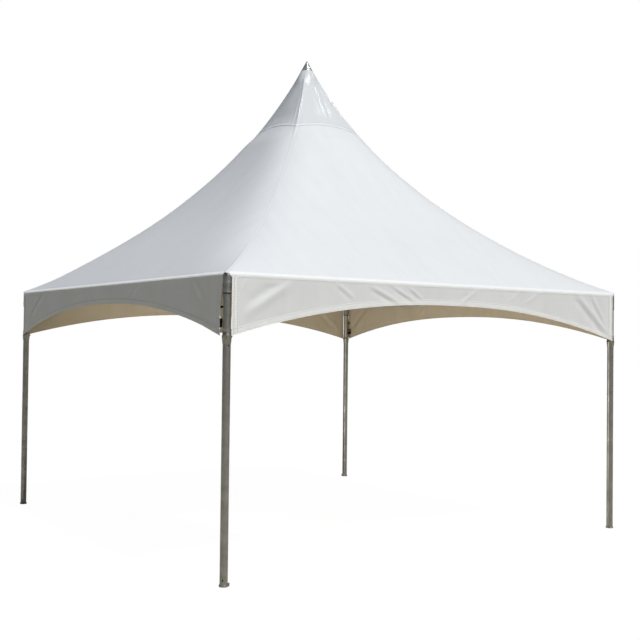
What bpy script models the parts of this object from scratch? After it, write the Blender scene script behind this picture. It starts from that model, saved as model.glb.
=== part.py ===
"""A 15 ft square high-peak marquee tent.

Four tube legs carry a square of eave tubes in cast corner fittings. Two crossed cables run from corner
to corner and carry a mast, which pushes the fabric roof up to its peak. The roof is four panels meeting
at the hips, with an arched valance on each side. A ratchet strap at each leg pulls the roof down.
Metres, +Z up, the origin at the plan's centre on the ground. The front faces -Y.
"""
import math

import bmesh
import bpy
from mathutils import Matrix, Vector

# Driving dimensions
HALF_SPAN = 2.286          # a leg's axis to the centre line: 15 ft between legs
GAP = 0.0003               # clearance between pieces that touch
TUBE_RADIUS = 0.03175      # 2.5 in tube
TUBE_WALL = 0.0032
EAVE_HEIGHT = 2.392        # axis of the eave tubes
FABRIC = 0.003

# Corner fittings
SLEEVE_RADIUS = 0.03575
SLEEVE_BORE = TUBE_RADIUS + GAP
SLEEVE_LENGTH = 0.165      # from the corner's centre to each sleeve's mouth
SLEEVE_DROP = 0.132
CORE = 0.040               # the solid middle, from the corner's centre to each tube's end
BOSS_RADIUS = 0.017        # the cable's boss, on the corner's inner diagonal
BOSS_REACH = 0.078
BOSS_DROP = 0.022          # the boss's axis, below the eave axis
ACCESS_HOLE_RADIUS = 0.009  # outer diagonal hole for the cable's nut

# Feet
FOOT_RADIUS = 0.0375
FOOT_HEIGHT = 0.016
FOOT_SPIGOT = 0.120
FOOT_CHAMFER = 0.003

# Roof
ROLL_INNER = SLEEVE_RADIUS + GAP + 0.00005   # the fabric's bend round the eave
ROLL_OUTER = ROLL_INNER + FABRIC
RISE_LINEAR = 1.07         # the hip's rise is a sum of powers of the way from eave to peak
RISE_SQUARE = 1.00
RISE_PEAK = 0.456
PEAK_POWER = 6
SOFT_BY = 0.45             # where the plan has no sharp corner left at the hips
ROUND_FROM = 0.92          # where a plan without corners would be a circle
HIP_CREASE = 0.70          # how sharp the hips are again, just under the peak
PATCH_START = 0.834        # lower seam of the peak's reinforcement, at the middle of a side
PATCH_DIP = 0.50           # the seam is cut straight on each side, so it dips at the hips
PATCH_END = 0.983          # the ring under the finial
PANEL_COLUMNS = 16
PANEL_ROWS = 12
ROLL_STEPS = 4
PATCH_ROWS = 8

# Valance
VALANCE_HALF_WIDTH = 2.268
ARCH_HEIGHT = 2.226        # lower edge at mid-span
HEM_DROP = 0.312           # how far the lower edge comes down at the corners
ARCH_STEPS = 24

# Mast and cables
MAST_RADIUS = 0.0254
MAST_WALL = 0.0032
CABLE_RADIUS = 0.004
TERMINAL_SCALE = 2.1
TERMINAL_LENGTH = 0.085
TERMINAL_GAP = 0.0007      # at the boss, where the cable's end is a little out of square
HUB_RADIUS = 0.055
HUB_BOTTOM = 2.218
HUB_HEIGHT = 0.050
LOWER_CABLE_HEIGHT = 2.232
CABLE_STEP = 0.013         # the upper cable's height over the lower one
SPIGOT_LENGTH = 0.100
CAP_ROWS = 2               # rows of the peak's cloth that lie on the mast cap
CAP_SHELL = 0.004
CAP_SEAT_RISE = 0.02       # from the cap's rim up to the mast's top

# Finial
FINIAL_RADIUS = 0.060
FINIAL_HEIGHT = 0.107
FINIAL_LIP = 0.006
STUD_RADIUS = 0.010

# Tension straps
STRAP_WIDTH = 0.038
STRAP_THICKNESS = 0.0025
STRAP_START = 0.0145       # strap's near edge, inboard of the leg's axis
STRAP_TOP = 2.370
STRAP_BOTTOM = 1.950
BRACKET_TOP = 1.980
BRACKET_BAND = 1.912       # just under the hems, where the collar flares
BRACKET_BOTTOM = 1.866
BAND_RADIUS = 0.0355
FUNNEL_RADIUS = 0.0385
FUNNEL_END_RADIUS = 0.0342
EAR_THICKNESS = 0.006
RATCHET_BOTTOM = 1.990
RATCHET_TOP = 2.063
RATCHET_WIDTH = 0.034
RATCHET_DEPTH = 0.024
RATCHET_START = 0.0325     # its near side, clear of the leg

STEPS = 24                 # sides of the tubes

COLOURS = {
    "aluminium": ((0.62, 0.61, 0.59), 0.38, 1.0),
    "cast": ((0.42, 0.42, 0.41), 0.5, 1.0),
    "zinc": ((0.58, 0.57, 0.52), 0.35, 1.0),
    "steel_cable": ((0.45, 0.45, 0.45), 0.45, 1.0),
    "vinyl": ((0.86, 0.87, 0.88), 0.42, 0.0),
    "webbing": ((0.62, 0.56, 0.42), 0.85, 0.0),
    "black_steel": ((0.04, 0.04, 0.04), 0.5, 1.0),
}

CORNERS = {"front_left": (-1, -1), "front_right": (1, -1), "back_right": (1, 1), "back_left": (-1, 1)}
SIDES = {"front": 0, "right": 90, "back": 180, "left": 270}


def clear_scene():
    for old in list(bpy.data.objects):
        bpy.data.objects.remove(old, do_unlink=True)


def new_collection(name):
    collection = bpy.data.collections.new(name)
    bpy.context.scene.collection.children.link(collection)
    return collection


def make_material(name):
    colour, roughness, metallic = COLOURS[name]
    material = bpy.data.materials.new(name)
    material.use_nodes = True
    shader = material.node_tree.nodes["Principled BSDF"]
    shader.inputs["Base Color"].default_value = (*colour, 1.0)
    shader.inputs["Roughness"].default_value = roughness
    shader.inputs["Metallic"].default_value = metallic
    material.diffuse_color = (*colour, 1.0)
    return material


def add_object(name, mesh, material, collection=None):
    item = bpy.data.objects.new(name, mesh)
    (collection or PARTS).objects.link(item)
    if material is not None:
        mesh.materials.clear()
        mesh.materials.append(material)
    return item


def shade(mesh, angle=35.0):
    mesh.shade_smooth()
    mesh.set_sharp_from_angle(angle=math.radians(angle))


def mesh_from(bm, name):
    bmesh.ops.recalc_face_normals(bm, faces=bm.faces)
    mesh = bpy.data.meshes.new(name)
    bm.to_mesh(mesh)
    bm.free()
    shade(mesh)
    return mesh


def evaluated_mesh(item):
    graph = bpy.context.evaluated_depsgraph_get()
    mesh = bpy.data.meshes.new_from_object(item.evaluated_get(graph))
    shade(mesh)
    return mesh


def turned_mesh(name, profile, closed, steps=STEPS):
    """Spin a profile of (radius, height) points about +Z. It runs down its outer side."""
    mesh = bpy.data.meshes.new(name)
    edges = [(index, index + 1) for index in range(len(profile) - 1)]
    if closed:
        edges.append((len(profile) - 1, 0))
    mesh.from_pydata([(radius, 0.0, height) for radius, height in profile], edges, [])
    item = bpy.data.objects.new(name, mesh)
    GUIDES.objects.link(item)
    screw = item.modifiers.new("turn", "SCREW")
    screw.steps = steps
    screw.render_steps = steps
    screw.use_merge_vertices = True
    screw.merge_threshold = 0.00001
    bpy.context.view_layer.update()
    result = evaluated_mesh(item)
    bpy.data.objects.remove(item, do_unlink=True)
    return result


def tube_mesh(name, outer, inner, bottom, top, steps=STEPS):
    profile = [(outer, top), (outer, bottom), (inner, bottom), (inner, top)]
    return turned_mesh(name, profile, closed=True, steps=steps)


def cylinder(bm, radius, depth, matrix, steps=STEPS):
    bmesh.ops.create_cone(bm, cap_ends=True, segments=steps, radius1=radius, radius2=radius,
                          depth=depth, matrix=matrix)


def box(bm, low, high):
    low, high = Vector(low), Vector(high)
    middle = Matrix.Translation((low + high) / 2)
    size = Matrix.Diagonal((*(high - low), 1.0))
    bmesh.ops.create_cube(bm, size=1.0, matrix=middle @ size)


def along(start, end):
    """A matrix that lays a +Z cylinder, centred, from start to end."""
    start, end = Vector(start), Vector(end)
    turn = (end - start).to_track_quat("Z", "Y").to_matrix().to_4x4()
    return Matrix.Translation((start + end) / 2) @ turn


def cutter_object(name, bm):
    item = bpy.data.objects.new(name, mesh_from(bm, name))
    CUTTERS.objects.link(item)
    item.hide_render = True
    item.display_type = "WIRE"
    return item


def combine(name, base, others, operation):
    """Union with, or cut by, each mesh in turn with the exact solver."""
    item = bpy.data.objects.new(name, base)
    GUIDES.objects.link(item)
    for index, other in enumerate(others):
        modifier = item.modifiers.new(f"step_{index}", "BOOLEAN")
        modifier.operation = operation
        modifier.solver = "EXACT"
        modifier.object = other
    bpy.context.view_layer.update()
    result = evaluated_mesh(item)
    bpy.data.objects.remove(item, do_unlink=True)
    return result


def at_corner(mesh, name, corner):
    """A copy for one corner. The source mesh has its inboard directions along +X and +Y."""
    side_x, side_y = CORNERS[corner]
    bm = bmesh.new()
    bm.from_mesh(mesh)
    bmesh.ops.scale(bm, vec=(-side_x, -side_y, 1.0), verts=bm.verts)
    bmesh.ops.translate(bm, vec=(side_x * HALF_SPAN, side_y * HALF_SPAN, 0.0), verts=bm.verts)
    if side_x * side_y < 0:
        bmesh.ops.reverse_faces(bm, faces=bm.faces)
    copy = bpy.data.meshes.new(name)
    bm.to_mesh(copy)
    bm.free()
    shade(copy)
    return copy


def ease(value):
    """A smooth step from 0 to 1."""
    value = max(0.0, min(1.0, value))
    return value * value * (3 - 2 * value)


def roof_height(way):
    """Height of the fabric's outer face, way = 0 at the eave's bend and 1 at the axis."""
    rise = RISE_LINEAR * way + RISE_SQUARE * way ** 2 + RISE_PEAK * way ** PEAK_POWER
    return BEND_HEIGHT + rise


def roof_radius(way, azimuth):
    """Plan distance of the contour at an azimuth from the middle of its side.

    The contour is square at the eave and a rounded square above it, all through the hips. The hips are
    creased again just under the peak, and the ring on top is a circle.
    """
    hip = BEND_DISTANCE * math.sqrt(2) * (1.0 - way)
    square = hip / (math.sqrt(2) * math.cos(azimuth))
    power = 2 + 9.5 * max(0.0, ROUND_FROM - way)
    spread = math.cos(azimuth) ** power + abs(math.sin(azimuth)) ** power
    rounded = hip * 2 ** (1 / power - 0.5) / spread ** (1 / power)
    softness = math.sin(math.pi / 2 * min(1.0, way / SOFT_BY))
    softness -= HIP_CREASE * ease((way - 0.78) / 0.09) * ease((PATCH_END - way) / 0.043)
    return (1 - softness) * square + softness * rounded


def patch_way(azimuth):
    """Where the reinforcement's lower seam runs, at an azimuth from the middle of a side."""
    return 1.0 - (1.0 - PATCH_START) / math.cos(PATCH_DIP * azimuth)


EAVE_SLOPE = math.atan2(RISE_LINEAR, HALF_SPAN)
BEND_DISTANCE = HALF_SPAN + ROLL_OUTER * math.sin(EAVE_SLOPE)
BEND_HEIGHT = EAVE_HEIGHT + ROLL_OUTER * math.cos(EAVE_SLOPE)


def roof_profile(azimuth, start, end, rows):
    """Outer (radius, height) points up one column of the roof, between two ways."""
    ways = [start + (end - start) * row / rows for row in range(rows + 1)]
    return [(roof_radius(way, azimuth), roof_height(way)) for way in ways]


def eave_profile(azimuth):
    """Outer points round the eave, from the tube's level to the start of the roof."""
    points = []
    for step in range(ROLL_STEPS):
        angle = (math.pi / 2 - EAVE_SLOPE) * step / ROLL_STEPS
        distance = HALF_SPAN + ROLL_OUTER * math.cos(angle)
        points.append((distance / math.cos(azimuth), EAVE_HEIGHT + ROLL_OUTER * math.sin(angle)))
    return points


def inward(profile, azimuth):
    """The profile moved in by the fabric's thickness, in its own upright plane."""
    points = []
    for index, (radius, height) in enumerate(profile):
        before = profile[max(index - 1, 0)]
        after = profile[min(index + 1, len(profile) - 1)]
        run, rise = after[0] - before[0], after[1] - before[1]
        if index == 0 and height < EAVE_HEIGHT + 0.001:
            run, rise = 0.0, 1.0
        length = math.hypot(run, rise)
        shift_out = FABRIC / math.cos(azimuth) if index < ROLL_STEPS else FABRIC
        points.append((radius - shift_out * rise / length, height + FABRIC * run / length))
    return points


def sheet_cell(bm, left, right, row, outward):
    """One cell of a sheet's face, cut along one diagonal, the same on both faces, since a cell is twisted."""
    corners = (left[row], right[row], right[row + 1], left[row + 1])
    for order in ((0, 1, 2), (0, 2, 3)):
        face = [corners[number] for number in order]
        bm.faces.new(face if outward else reversed(face))


def sheet_mesh(name, azimuths, make_profile, closed_ring):
    """A cloth sheet from columns of points: outer face, inner face, and walls round the edge."""
    bm = bmesh.new()
    outer, inner = [], []
    for azimuth in azimuths:
        side = azimuth if not closed_ring else (azimuth + math.pi / 4) % (math.pi / 2) - math.pi / 4
        profile = make_profile(side)
        turn = (math.sin(azimuth), -math.cos(azimuth))
        for store, points in ((outer, profile), (inner, inward(profile, side))):
            store.append([bm.verts.new((r * turn[0], r * turn[1], z)) for r, z in points])
    pairs = list(zip(range(len(outer)), range(1, len(outer))))
    if closed_ring:
        pairs.append((len(outer) - 1, 0))
    last = len(outer[0]) - 1
    for left, right in pairs:
        for row in range(last):
            sheet_cell(bm, outer[left], outer[right], row, outward=True)
            sheet_cell(bm, inner[left], inner[right], row, outward=False)
        bm.faces.new((inner[left][0], inner[right][0], outer[right][0], outer[left][0]))
        bm.faces.new((outer[left][last], outer[right][last], inner[right][last], inner[left][last]))
    if not closed_ring:
        for column in (0, len(outer) - 1):
            for row in range(last):
                bm.faces.new((outer[column][row], outer[column][row + 1],
                              inner[column][row + 1], inner[column][row]))
    return mesh_from(bm, name)


def turn_to_side(item, side):
    item.rotation_euler = (0.0, 0.0, math.radians(SIDES[side]))


def make_legs_and_feet():
    bottom = FOOT_HEIGHT + GAP
    top = EAVE_HEIGHT - CORE - GAP
    leg = tube_mesh("leg", TUBE_RADIUS, TUBE_RADIUS - TUBE_WALL, bottom, top)
    spigot = TUBE_RADIUS - TUBE_WALL - GAP
    foot_profile = [(0.0, FOOT_SPIGOT), (spigot - FOOT_CHAMFER, FOOT_SPIGOT),
                    (spigot, FOOT_SPIGOT - FOOT_CHAMFER), (spigot, FOOT_HEIGHT),
                    (FOOT_RADIUS - FOOT_CHAMFER, FOOT_HEIGHT),
                    (FOOT_RADIUS, FOOT_HEIGHT - FOOT_CHAMFER), (FOOT_RADIUS, 0.0), (0.0, 0.0)]
    foot = turned_mesh("foot", foot_profile, closed=False)
    for corner, (side_x, side_y) in CORNERS.items():
        for name, mesh, material in (("leg", leg, ALUMINIUM), ("foot", foot, CAST)):
            item = add_object(f"{name}_{corner}", mesh, material)
            item.location = (side_x * HALF_SPAN, side_y * HALF_SPAN, 0.0)


def make_corner_fittings():
    """Three sleeves in one casting, with a boss for the cable on the inner diagonal."""
    middle = Vector((0.0, 0.0, EAVE_HEIGHT))
    ends = [middle + Vector((SLEEVE_LENGTH, 0, 0)), middle + Vector((0, SLEEVE_LENGTH, 0)),
            middle - Vector((0, 0, SLEEVE_DROP))]
    diagonal = Vector((1.0, 1.0, 0.0)).normalized()
    drop = Vector((0.0, 0.0, BOSS_DROP))
    base = bmesh.new()
    bmesh.ops.create_uvsphere(base, u_segments=STEPS, v_segments=STEPS // 2, radius=SLEEVE_RADIUS - 0.0001,
                              matrix=Matrix.Translation(middle))
    adders = []
    for index, end in enumerate(ends):
        bm = bmesh.new()
        cylinder(bm, SLEEVE_RADIUS, (end - middle).length, along(middle, end))
        adders.append(cutter_object(f"sleeve_form_{index}", bm))
    bm = bmesh.new()
    cylinder(bm, BOSS_RADIUS, BOSS_REACH, along(middle - drop, middle - drop + diagonal * BOSS_REACH), 16)
    adders.append(cutter_object("boss_form", bm))
    body = combine("corner_fitting", mesh_from(base, "corner_middle"), adders, "UNION")
    bores = []
    for index, end in enumerate(ends):
        bm = bmesh.new()
        direction = (end - middle).normalized()
        cylinder(bm, SLEEVE_BORE, SLEEVE_LENGTH, along(middle + direction * CORE,
                                                       middle + direction * (CORE + SLEEVE_LENGTH)))
        bores.append(cutter_object(f"sleeve_bore_{index}", bm))
    bm = bmesh.new()
    outside = middle - diagonal * 2 * SLEEVE_RADIUS
    cylinder(bm, ACCESS_HOLE_RADIUS, 1.4 * SLEEVE_RADIUS,
             along(outside, outside + diagonal * 1.4 * SLEEVE_RADIUS), 16)
    bores.append(cutter_object("access_hole_form", bm))
    body = combine("corner_fitting", body, bores, "DIFFERENCE")
    for corner in CORNERS:
        add_object(f"corner_fitting_{corner}", at_corner(body, f"corner_fitting_{corner}", corner), CAST)


def make_eave_tubes():
    half = HALF_SPAN - CORE - GAP
    mesh = tube_mesh("eave_tube", TUBE_RADIUS, TUBE_RADIUS - TUBE_WALL, -half, half)
    lie = Matrix.Translation((0.0, -HALF_SPAN, EAVE_HEIGHT)) @ Matrix.Rotation(math.pi / 2, 4, "Y")
    mesh.transform(lie)
    for side in SIDES:
        turn_to_side(add_object(f"eave_tube_{side}", mesh, ALUMINIUM), side)


def make_roof_panels():
    azimuths = [math.pi / 4 * (2 * column / PANEL_COLUMNS - 1) for column in range(PANEL_COLUMNS + 1)]

    def column(azimuth):
        return eave_profile(azimuth) + roof_profile(azimuth, 0.0, patch_way(azimuth), PANEL_ROWS)

    mesh = sheet_mesh("roof_panel", azimuths, column, closed_ring=False)
    mesh.transform(Matrix.Translation((0.0, -GAP / math.sqrt(2), 0.0)))
    for side in SIDES:
        turn_to_side(add_object(f"roof_panel_{side}", mesh, VINYL), side)


def make_peak_patch():
    count = 4 * PANEL_COLUMNS

    def column(azimuth):
        return roof_profile(azimuth, patch_way(azimuth) + GAP / BEND_DISTANCE, PATCH_END, PATCH_ROWS)

    azimuths = [2 * math.pi * index / count for index in range(count)]
    add_object("peak_patch", sheet_mesh("peak_patch", azimuths, column, closed_ring=True), VINYL)


def make_valances():
    """Each valance is a flat outline with an arched lower edge, extruded to the cloth's thickness."""
    curve = bpy.data.curves.new("valance_outline", "CURVE")
    curve.dimensions = "2D"
    curve.fill_mode = "BOTH"
    curve.extrude = FABRIC / 2
    top = EAVE_HEIGHT - GAP
    points = [(VALANCE_HALF_WIDTH, top), (-VALANCE_HALF_WIDTH, top)]
    for step in range(ARCH_STEPS + 1):
        x = VALANCE_HALF_WIDTH * (2 * step / ARCH_STEPS - 1)
        points.append((x, ARCH_HEIGHT - HEM_DROP * (x / VALANCE_HALF_WIDTH) ** 2))
    spline = curve.splines.new("POLY")
    spline.points.add(len(points) - 1)
    for point, (x, z) in zip(spline.points, points):
        point.co = (x, z, 0.0, 1.0)
    spline.use_cyclic_u = True
    item = bpy.data.objects.new("valance_outline", curve)
    GUIDES.objects.link(item)
    bpy.context.view_layer.update()
    bm = bmesh.new()
    bm.from_mesh(evaluated_mesh(item))
    bpy.data.objects.remove(item, do_unlink=True)
    bmesh.ops.remove_doubles(bm, verts=bm.verts, dist=0.00001)
    mesh = mesh_from(bm, "valance")
    plane = -(HALF_SPAN + ROLL_INNER + FABRIC / 2)
    mesh.transform(Matrix.Translation((0.0, plane, 0.0)) @ Matrix.Rotation(math.pi / 2, 4, "X"))
    for side in SIDES:
        turn_to_side(add_object(f"valance_{side}", mesh, VINYL), side)


def cable_points(height):
    """One cable's route along +X: the corner boss, down to the hub, and up to the far corner."""
    reach = HALF_SPAN * math.sqrt(2) - BOSS_REACH - TERMINAL_GAP
    hub_edge = HUB_RADIUS + 0.01
    end_height = EAVE_HEIGHT - BOSS_DROP
    slope = (end_height - height) / (reach - hub_edge)
    neck = reach - TERMINAL_LENGTH
    return [(reach, end_height, TERMINAL_SCALE),
            (neck, end_height - slope * TERMINAL_LENGTH, TERMINAL_SCALE),
            (neck - 0.012, end_height - slope * (TERMINAL_LENGTH + 0.012), 1.0),
            (hub_edge, height, 1.0)]


def make_cables():
    """Two cables from corner to corner, one over the other where they cross in the mast's foot."""
    routes = {"cable_front_left_to_back_right": (math.radians(45), LOWER_CABLE_HEIGHT),
              "cable_front_right_to_back_left": (math.radians(-45), LOWER_CABLE_HEIGHT + CABLE_STEP)}
    for name, (heading, height) in routes.items():
        half = cable_points(height)
        route = half + [(-x, z, scale) for x, z, scale in reversed(half)]
        curve = bpy.data.curves.new(name, "CURVE")
        curve.dimensions = "3D"
        curve.bevel_depth = CABLE_RADIUS
        curve.bevel_resolution = 2
        curve.use_fill_caps = True
        spline = curve.splines.new("POLY")
        spline.points.add(len(route) - 1)
        for point, (x, z, scale) in zip(spline.points, route):
            point.co = (x, 0.0, z, 1.0)
            point.radius = scale
        curve.materials.append(STEEL_CABLE)
        item = bpy.data.objects.new(name, curve)
        PARTS.objects.link(item)
        item.rotation_euler = (0.0, 0.0, heading)


def cap_face():
    """The cap's outer points, downwards: the cloth's inner face at the middle of a side, a gap further in."""
    cloth = roof_profile(0.0, patch_way(0.0) + GAP / BEND_DISTANCE, PATCH_END, PATCH_ROWS)
    under = inward(cloth, 0.0)[-1 - CAP_ROWS:]
    return [(radius - 2 * GAP, height) for radius, height in reversed(under)]


def make_mast():
    foot_top = HUB_BOTTOM + HUB_HEIGHT
    cap_seat = cap_face()[-1][1] + CAP_SEAT_RISE
    mesh = tube_mesh("mast", MAST_RADIUS, MAST_RADIUS - MAST_WALL, foot_top + GAP, cap_seat)
    add_object("mast", mesh, ALUMINIUM)


def make_mast_foot():
    """A hub with two crossed cable holes and a spigot up into the mast."""
    top = HUB_BOTTOM + HUB_HEIGHT
    spigot = MAST_RADIUS - MAST_WALL - GAP
    edge = 0.004
    profile = [(0.0, top + SPIGOT_LENGTH), (spigot - edge, top + SPIGOT_LENGTH),
               (spigot, top + SPIGOT_LENGTH - edge), (spigot, top), (HUB_RADIUS - edge, top),
               (HUB_RADIUS, top - edge), (HUB_RADIUS, HUB_BOTTOM + edge),
               (HUB_RADIUS - edge, HUB_BOTTOM), (0.0, HUB_BOTTOM)]
    body = turned_mesh("mast_foot", profile, closed=False)
    holes = []
    for index, (heading, height) in enumerate(((45, LOWER_CABLE_HEIGHT),
                                               (-45, LOWER_CABLE_HEIGHT + CABLE_STEP))):
        bm = bmesh.new()
        reach = Vector((math.cos(math.radians(heading)), math.sin(math.radians(heading)), 0)) * 0.08
        level = Vector((0, 0, height))
        cylinder(bm, CABLE_RADIUS + GAP + 0.0001, 0.16, along(level - reach, level + reach), 12)
        holes.append(cutter_object(f"cable_hole_{index}", bm))
    add_object("mast_foot", combine("mast_foot", body, holes, "DIFFERENCE"), CAST)


def make_mast_cap():
    """A spun cone under the peak of the fabric, on a spigot in the mast's top."""
    outer = cap_face()
    rim = outer[-1]
    spigot = MAST_RADIUS - MAST_WALL - GAP
    seat = rim[1] + CAP_SEAT_RISE + GAP
    profile = [(0.0, outer[0][1])] + outer
    profile += [(rim[0] - CAP_SHELL, rim[1])]
    profile += [(MAST_RADIUS + 0.012, seat), (spigot, seat), (spigot, seat - SPIGOT_LENGTH),
                (0.0, seat - SPIGOT_LENGTH)]
    add_object("mast_cap", turned_mesh("mast_cap", profile, closed=False), CAST)


def make_finial():
    base = roof_height(PATCH_END) + GAP
    cap_top = cap_face()[0][1]
    profile = [(0.0, base + FINIAL_HEIGHT), (FINIAL_RADIUS, base + FINIAL_LIP), (FINIAL_RADIUS, base),
               (STUD_RADIUS, base), (STUD_RADIUS, cap_top + GAP), (0.0, cap_top + GAP)]
    add_object("finial", turned_mesh("finial", profile, closed=False), ZINC)


def make_strap_brackets():
    """A collar on each leg, flared at its foot, with an ear that the strap hooks to."""
    bore = TUBE_RADIUS + GAP
    profile = [(BAND_RADIUS, BRACKET_TOP), (BAND_RADIUS, BRACKET_BAND), (FUNNEL_RADIUS, BRACKET_BAND - 0.002),
               (FUNNEL_END_RADIUS, BRACKET_BOTTOM), (bore, BRACKET_BOTTOM), (bore, BRACKET_TOP)]
    collar = turned_mesh("strap_bracket", profile, closed=True)
    face = -(ROLL_INNER - GAP - STRAP_THICKNESS - GAP)
    bm = bmesh.new()
    box(bm, (face, 0.004, STRAP_BOTTOM + 0.003),
        (face + EAR_THICKNESS, STRAP_START + STRAP_WIDTH, BRACKET_TOP - 0.003))
    ear = cutter_object("ear_form", bm)
    bm = bmesh.new()
    cylinder(bm, bore, 0.3, Matrix.Translation((0, 0, BRACKET_TOP)))
    bore_form = cutter_object("bracket_bore_form", bm)
    body = combine("strap_bracket", collar, [ear], "UNION")
    body = combine("strap_bracket", body, [bore_form], "DIFFERENCE")
    for corner in CORNERS:
        add_object(f"strap_bracket_{corner}", at_corner(body, f"strap_bracket_{corner}", corner), ZINC)


def make_straps():
    """Webbing behind the side valance, from the eave down to the bracket's ear."""
    face = -(ROLL_INNER - GAP)
    bm = bmesh.new()
    box(bm, (face, STRAP_START, STRAP_BOTTOM), (face + STRAP_THICKNESS, STRAP_START + STRAP_WIDTH, STRAP_TOP))
    body = mesh_from(bm, "strap")
    for corner in CORNERS:
        add_object(f"strap_{corner}", at_corner(body, f"strap_{corner}", corner), WEBBING)


def make_ratchets():
    """A ratchet buckle on the strap: a frame with its spindle and folded handle."""
    face = -(ROLL_INNER - GAP - STRAP_THICKNESS - GAP)
    middle_z = (RATCHET_BOTTOM + RATCHET_TOP) / 2
    bm = bmesh.new()
    box(bm, (face, RATCHET_START, RATCHET_BOTTOM),
        (face + RATCHET_DEPTH, RATCHET_START + RATCHET_WIDTH, RATCHET_TOP))
    bmesh.ops.bevel(bm, geom=bm.edges[:], offset=0.004, segments=2, profile=0.5, affect="EDGES", material=-1)
    base = mesh_from(bm, "ratchet")
    bm = bmesh.new()
    spindle = (Vector((face + RATCHET_DEPTH * 0.6, RATCHET_START - 0.001, middle_z + 0.012)),
               Vector((face + RATCHET_DEPTH * 0.6, RATCHET_START + RATCHET_WIDTH + 0.004, middle_z + 0.012)))
    cylinder(bm, 0.009, (spindle[1] - spindle[0]).length, along(*spindle), 16)
    body = combine("ratchet", base, [cutter_object("spindle_form", bm)], "UNION")
    for corner in CORNERS:
        add_object(f"ratchet_{corner}", at_corner(body, f"ratchet_{corner}", corner), BLACK_STEEL)


clear_scene()
PARTS = new_collection("marquee_tent")
CUTTERS = new_collection("cutters")
GUIDES = new_collection("guides")
ALUMINIUM = make_material("aluminium")
CAST = make_material("cast")
ZINC = make_material("zinc")
STEEL_CABLE = make_material("steel_cable")
VINYL = make_material("vinyl")
WEBBING = make_material("webbing")
BLACK_STEEL = make_material("black_steel")
make_legs_and_feet()
make_corner_fittings()
make_eave_tubes()
make_roof_panels()
make_peak_patch()
make_valances()
make_cables()
make_mast()
make_mast_foot()
make_mast_cap()
make_finial()
make_strap_brackets()
make_straps()
make_ratchets()
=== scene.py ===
"""High-peak frame tent: fabric, stitching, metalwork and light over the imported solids.

Metres, +Z up, the front towards -Y. Cloth is laid out on one side's own frame, in which x runs along
the eave and -Y points out, and is then turned to its side of the square.
"""
import math
import random

import bmesh
import bpy
from mathutils import Matrix, Vector, noise


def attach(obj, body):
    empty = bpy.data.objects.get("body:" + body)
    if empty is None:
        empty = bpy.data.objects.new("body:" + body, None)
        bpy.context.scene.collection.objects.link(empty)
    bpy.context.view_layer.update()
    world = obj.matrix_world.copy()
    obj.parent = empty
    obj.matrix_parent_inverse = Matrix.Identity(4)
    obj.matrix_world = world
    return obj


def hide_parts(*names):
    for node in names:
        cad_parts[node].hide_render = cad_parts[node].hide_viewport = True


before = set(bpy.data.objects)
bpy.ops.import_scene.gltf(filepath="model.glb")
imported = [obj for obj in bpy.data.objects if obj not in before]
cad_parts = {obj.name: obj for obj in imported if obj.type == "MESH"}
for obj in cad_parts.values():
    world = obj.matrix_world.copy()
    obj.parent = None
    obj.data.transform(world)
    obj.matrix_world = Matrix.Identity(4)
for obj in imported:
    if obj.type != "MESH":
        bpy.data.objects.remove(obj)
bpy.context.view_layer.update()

# Sizes shared with the solids
HALF_SPAN = 2.286
TUBE_RADIUS = 0.03175
TUBE_WALL = 0.0032
EAVE_HEIGHT = 2.392
ROLL_OUTER = 0.03915
RISE_LINEAR = 1.07
RISE_SQUARE = 1.00
RISE_PEAK = 0.456
PEAK_POWER = 6
SOFT_BY = 0.33
SOFT_POWER = 0.85
ROUND_FROM = 0.92
HIP_CREASE = 0.70
PATCH_START = 0.834
PATCH_DIP = 0.50
PATCH_END = 0.983
VALANCE_HALF_WIDTH = 2.268
ARCH_HEIGHT = 2.226
HEM_DROP = 0.298
ARCH_POWER = 2.18
ARCH_SAG = {"front": 0.0, "right": 0.022, "back": 0.022, "left": 0.0}
EAVE_SLOPE = math.atan2(RISE_LINEAR, HALF_SPAN)
BEND_DISTANCE = HALF_SPAN + ROLL_OUTER * math.sin(EAVE_SLOPE)
BEND_HEIGHT = EAVE_HEIGHT + ROLL_OUTER * math.cos(EAVE_SLOPE)

# Sizes of the finished cloth
CLOTH = 0.0012
SKIRT = 0.008              # how far the roof laps down over the valance's top
LAP_WAY = -0.8             # where the roof leaves the tube and hangs down
WRAP_LENGTH = 0.06         # cloth from the bend round the tube to the lap's edge
# The bright edge of the eave is a painted highlight: whiter cloth where the roof bends over the tube.
PAINTED_HIGHLIGHT_REACH = 0.040           # how much of that shows as the bright edge of the eave
BEAD_WAY = -0.58           # the seam rolled over the tube, and its half width
BEAD_HALF_WIDTH = 0.20
EAVE_BEADS = {"front": 0.0010, "right": 0.0015, "back": 0.0035, "left": 0.0045}
UNDER_PATCH = 0.011        # how far the panels run up under the peak's patch
PATCH_HEM_TOP = 0.066      # the patch's hem and its stitching, as shares of the patch's height
PATCH_STITCHES = (0.005, 0.054)
PATCH_LOW_RADIUS = 0.40    # for the patch's map
HIP_LENGTH = 3.9           # cloth along a hip seam, for the tape's map
HEM_HEIGHT = 0.048
HEM_STITCHES = (0.043, 0.005)
END_HEM_WIDTH = 0.057
END_STITCHES = (0.052, 0.020)
STITCH_REACH = 0.0022
GROOVE = 0.0017            # half the width of the dip that stitching pulls in
HEM_RISE = 0.0014          # a hem is the cloth folded over and sewn down
TAPE_HALF_WIDTH = 0.020
CUT_DEPTH = 0.482          # height over which the near slit's edge is shaped
MERGE_DISTANCE = 0.00001

CORNERS = {"front_left": (-1, -1), "front_right": (1, -1), "back_right": (1, 1), "back_left": (-1, 1)}
SIDES = {"front": 0, "right": 90, "back": 180, "left": 270}
ORDER = list(SIDES)
# The sides in shade, which take painted-shade copies of the cloth.
SIDES_WITH_PAINTED_SHADE = ("left", "back")


# Colours and materials
WHITE = (1.0, 1.0, 1.0, 1.0)


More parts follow.
